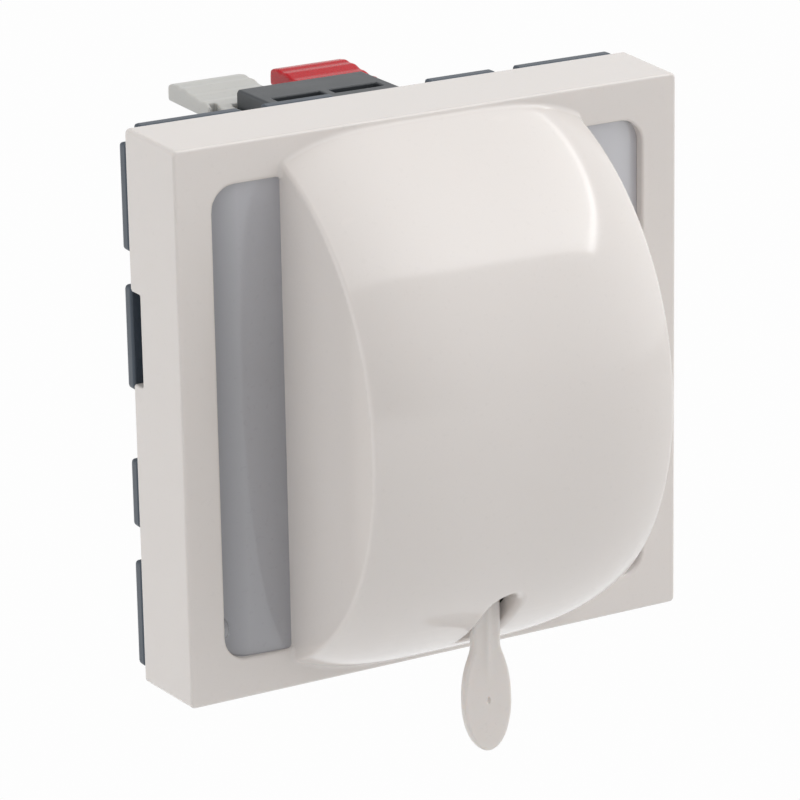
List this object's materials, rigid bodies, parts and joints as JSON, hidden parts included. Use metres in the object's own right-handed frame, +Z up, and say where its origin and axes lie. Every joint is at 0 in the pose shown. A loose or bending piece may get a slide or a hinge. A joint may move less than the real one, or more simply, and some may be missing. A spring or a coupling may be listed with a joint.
{
  "type": "pull cord switch",
  "caption": "Modular pull cord wall switch: a square white face with a domed cord housing between light windows, a hanging pull tab, and push-in terminals behind.",
  "frame": {"origin": "middle of the square face, on the back plane of the dark mounting frame, which rests on the wall support", "axes": "+X right as seen from the room, +Y into the wall, +Z up"},
  "size_m": [0.045, 0.0449, 0.0504],
  "materials": {
    "white_cover": "smooth glossy moulded white",
    "grey_diffuser": "translucent grey, satin",
    "tab_plastic": "thin translucent white",
    "slate_frame": "fine matt moulding, dark slate",
    "dark_housing": "fine matt moulding, charcoal",
    "terminal_grey": "fine matt moulding, dark grey",
    "lever_white": "moulded off-white",
    "lever_red": "moulded red",
    "mechanism_white": "low friction moulding",
    "zinc_steel": "zinc plated",
    "spring_steel": "bright spring wire or strip",
    "brass": "stamped brass",
    "bronze": "phosphor bronze strip",
    "silver": "silver contact rivet",
    "board_green": "glass fibre circuit board with solder mask",
    "led_lens": "clear epoxy",
    "chip_black": "moulded chip body"
  },
  "bodies": {
    "base": {"front_cover": "white_cover", "light_diffuser": "grey_diffuser", "cord_bush": "mechanism_white", "mounting_frame": "slate_frame", "rear_housing": "dark_housing", "housing_screws": "zinc_steel", "terminal_cover": "terminal_grey", "lever_pins": "zinc_steel", "white_clamp_spring": "spring_steel", "red_clamp_spring": "spring_steel", "left_busbar": "brass", "right_busbar": "brass", "fixed_contacts": "silver", "return_spring": "spring_steel", "rocker_pin": "zinc_steel", "circuit_board": "board_green", "indicator_leds": "led_lens", "board_resistors": "chip_black", "board_leads": "brass"},
    "rocker": {"pull_rocker": "mechanism_white"},
    "tab": {"pull_tab": "tab_plastic"},
    "plunger": {"plunger": "mechanism_white", "retaining_ring": "spring_steel", "contact_spring": "spring_steel"},
    "bridge": {"contact_bridge": "bronze", "bridge_contacts": "silver"},
    "white_lever": {"white_release_lever": "lever_white"},
    "red_lever": {"red_release_lever": "lever_red"}
  },
  "joints": [
    {"name": "rocker_turn", "type": "hinge", "parent": "base", "child": "rocker", "pos_m": [0, -0.0042, -0.003], "axis": [1, 0, 0], "range_deg": [0, 24]},
    {"name": "tab_pull", "type": "slide", "parent": "base", "child": "tab", "axis": [0, 0, -1], "range_m": [0, 0.00489]},
    {"name": "plunger_push", "type": "slide", "parent": "base", "child": "plunger", "axis": [0, 1, 0], "range_m": [0, 0.0025], "deforming": ["return_spring"]},
    {"name": "bridge_close", "type": "slide", "parent": "base", "child": "bridge", "axis": [0, 1, 0], "range_m": [0, 0.0019], "deforming": ["contact_spring"]},
    {"name": "white_lever_press", "type": "hinge", "parent": "base", "child": "white_lever", "pos_m": [-0.0033, 0.0115, 0.0164], "axis": [-1, 0, 0], "range_deg": [0, 12], "deforming": ["white_clamp_spring"]},
    {"name": "red_lever_press", "type": "hinge", "parent": "base", "child": "red_lever", "pos_m": [0.0033, 0.0115, 0.0164], "axis": [-1, 0, 0], "range_deg": [0, 12], "deforming": ["red_clamp_spring"]}
  ],
  "couplings": [
    {"joint": "rocker_turn", "follows": "tab_pull", "rad_per_m": 85.681},
    {"joint": "plunger_push", "follows": "tab_pull", "ratio": 0.51034},
    {"joint": "bridge_close", "follows": "tab_pull", "ratio": 0.38864}
  ]
}
